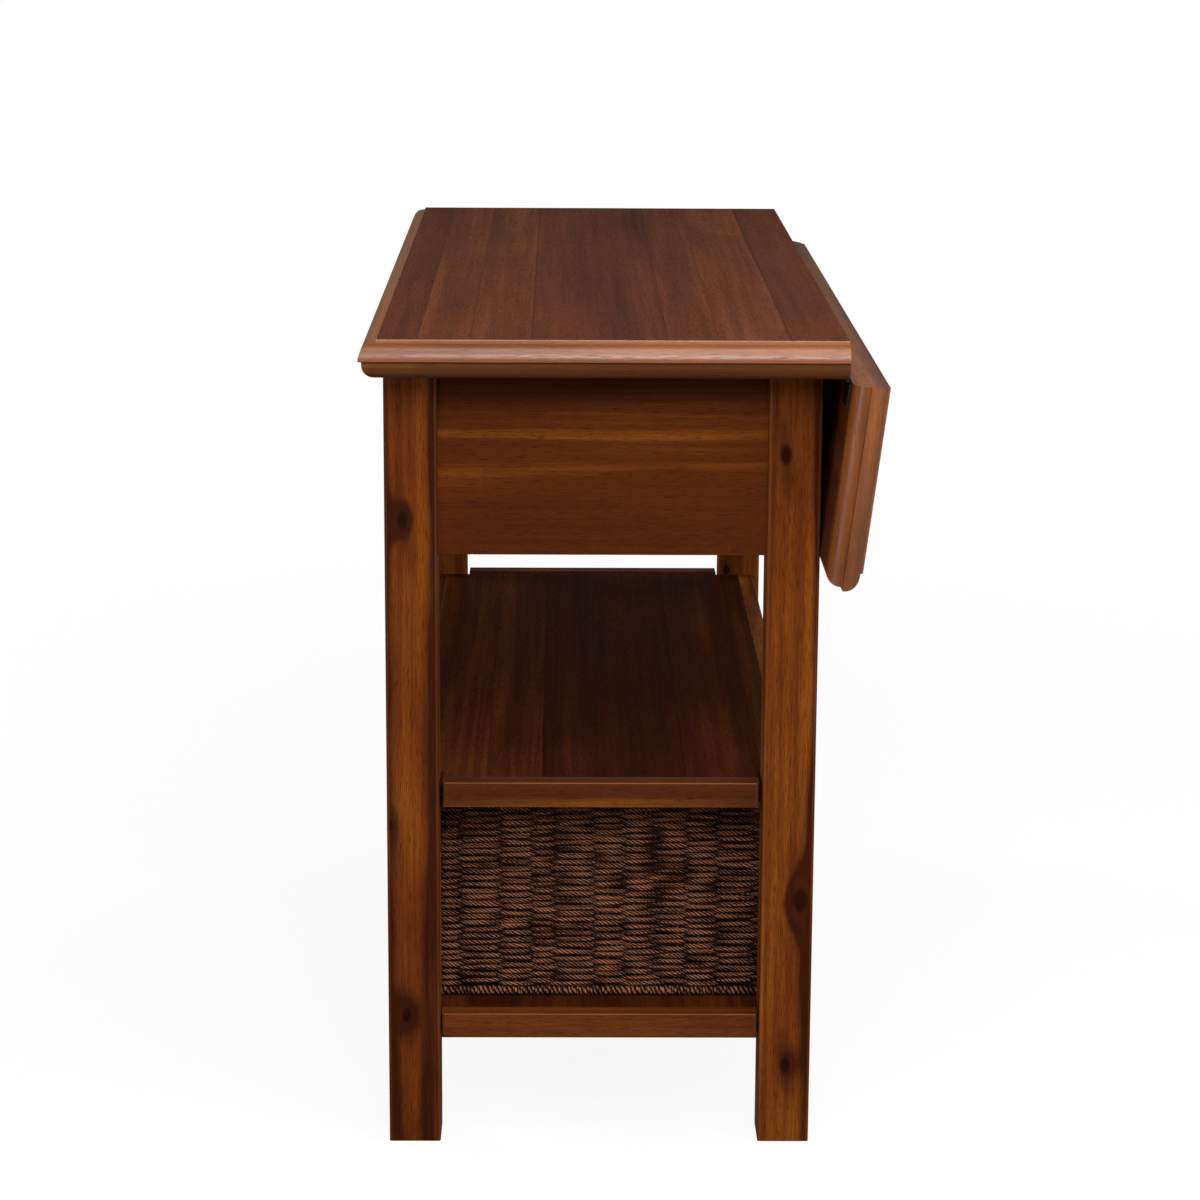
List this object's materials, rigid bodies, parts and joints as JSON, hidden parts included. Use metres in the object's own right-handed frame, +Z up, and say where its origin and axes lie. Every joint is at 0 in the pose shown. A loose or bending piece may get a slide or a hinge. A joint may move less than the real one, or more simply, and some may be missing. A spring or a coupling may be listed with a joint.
{
  "type": "drop leaf kitchen island",
  "caption": "Wooden kitchen island on square legs with a moulded top, a hinged drop leaf on folding braces, drawers, shelves and woven baskets.",
  "frame": {"origin": "on the floor under the middle of the whole island with its leaf hanging", "axes": "+X along the island, -Y the way the drawers open, +Y the leaf side, +Z up"},
  "size_m": [1.31, 0.5536, 0.914],
  "materials": {
    "top_wood": "dark red-brown stain under satin lacquer",
    "frame_wood": "red-brown stain under satin lacquer",
    "shelf_wood": "dark red-brown stain under satin lacquer",
    "inner_wood": "plain planed wood",
    "steel": "zinc-plated",
    "knob_metal": "dark bronze",
    "seagrass": "dark stained twisted seagrass"
  },
  "bodies": {
    "frame": {"tabletop": "top_wood", "leg_front_left": "frame_wood", "leg_front_right": "frame_wood", "leg_back_left": "frame_wood", "leg_back_right": "frame_wood", "end_apron_left": "frame_wood", "end_apron_right": "frame_wood", "back_apron": "frame_wood", "front_top_rail": "frame_wood", "front_bottom_rail": "frame_wood", "centre_stile": "frame_wood", "mid_shelf_panel": "shelf_wood", "mid_shelf_rail_left": "shelf_wood", "mid_shelf_rail_right": "shelf_wood", "mid_shelf_rail_front": "shelf_wood", "mid_shelf_rail_back": "shelf_wood", "low_shelf_panel": "shelf_wood", "low_shelf_rail_left": "shelf_wood", "low_shelf_rail_right": "shelf_wood", "low_shelf_rail_front": "shelf_wood", "low_shelf_rail_back": "shelf_wood", "drawer_runners": "inner_wood", "drawer_guides": "inner_wood", "drawer_kickers": "inner_wood", "dowels": "inner_wood", "shelf_brackets": "steel", "bracket_screws": "steel", "hinge_plates_top": "steel", "hinge_pins": "steel", "hinge_screws_top": "steel", "top_screws": "steel", "brace_plates_apron": "steel", "brace_pins_apron": "steel"},
    "leaf": {"drop_leaf": "top_wood", "hinge_plates_leaf": "steel", "hinge_screws_leaf": "steel", "brace_plates_leaf": "steel", "brace_pins_leaf": "steel"},
    "brace_short_left": {"brace_short_bar_left": "steel"},
    "brace_short_right": {"brace_short_bar_right": "steel"},
    "brace_long_left": {"brace_long_bar_left": "steel"},
    "brace_long_right": {"brace_long_bar_right": "steel"},
    "drawer_left": {"left_drawer_front": "frame_wood", "left_drawer_side_outer": "inner_wood", "left_drawer_side_inner": "inner_wood", "left_drawer_back": "inner_wood", "left_drawer_bottom": "inner_wood", "left_knob": "knob_metal", "left_knob_screw": "steel"},
    "drawer_right": {"right_drawer_front": "frame_wood", "right_drawer_side_outer": "inner_wood", "right_drawer_side_inner": "inner_wood", "right_drawer_back": "inner_wood", "right_drawer_bottom": "inner_wood", "right_knob": "knob_metal", "right_knob_screw": "steel"},
    "basket_left": {"left_basket": "seagrass"},
    "basket_right": {"right_basket": "seagrass"}
  },
  "joints": [
    {"name": "leaf_hinge", "type": "hinge", "parent": "frame", "child": "leaf", "pos_m": [0, 0.2337, 0.8705], "axis": [1, 0, 0], "range_deg": [0, 97.09]},
    {"name": "brace_short_left_turn", "type": "hinge", "parent": "frame", "child": "brace_short_left", "pos_m": [-0.33, 0.2107, 0.7705], "axis": [1, 0, 0], "range_deg": [-60.67, 0]},
    {"name": "brace_long_left_turn", "type": "hinge", "parent": "leaf", "child": "brace_long_left", "pos_m": [-0.33, 0.21022, 0.72226], "axis": [1, 0, 0], "range_deg": [0, 22.25]},
    {"name": "brace_short_right_turn", "type": "hinge", "parent": "frame", "child": "brace_short_right", "pos_m": [0.33, 0.2107, 0.7705], "axis": [1, 0, 0], "range_deg": [-60.67, 0]},
    {"name": "brace_long_right_turn", "type": "hinge", "parent": "leaf", "child": "brace_long_right", "pos_m": [0.33, 0.21022, 0.72226], "axis": [1, 0, 0], "range_deg": [0, 22.25]},
    {"name": "drawer_left_slide", "type": "slide", "parent": "frame", "child": "drawer_left", "axis": [0, -1, 0], "range_m": [0, 0.3]},
    {"name": "drawer_right_slide", "type": "slide", "parent": "frame", "child": "drawer_right", "axis": [0, -1, 0], "range_m": [0, 0.3]},
    {"name": "basket_left_slide", "type": "slide", "parent": "frame", "child": "basket_left", "axis": [0, -1, 0], "range_m": [0, 0.36]},
    {"name": "basket_right_slide", "type": "slide", "parent": "frame", "child": "basket_right", "axis": [0, -1, 0], "range_m": [0, 0.36]}
  ],
  "couplings": [
    {"joint": "brace_short_left_turn", "follows": "leaf_hinge", "ratio": -0.62484},
    {"joint": "brace_long_left_turn", "follows": "leaf_hinge", "ratio": 0.22913},
    {"joint": "brace_short_right_turn", "follows": "leaf_hinge", "ratio": -0.62484},
    {"joint": "brace_long_right_turn", "follows": "leaf_hinge", "ratio": 0.22913}
  ]
}
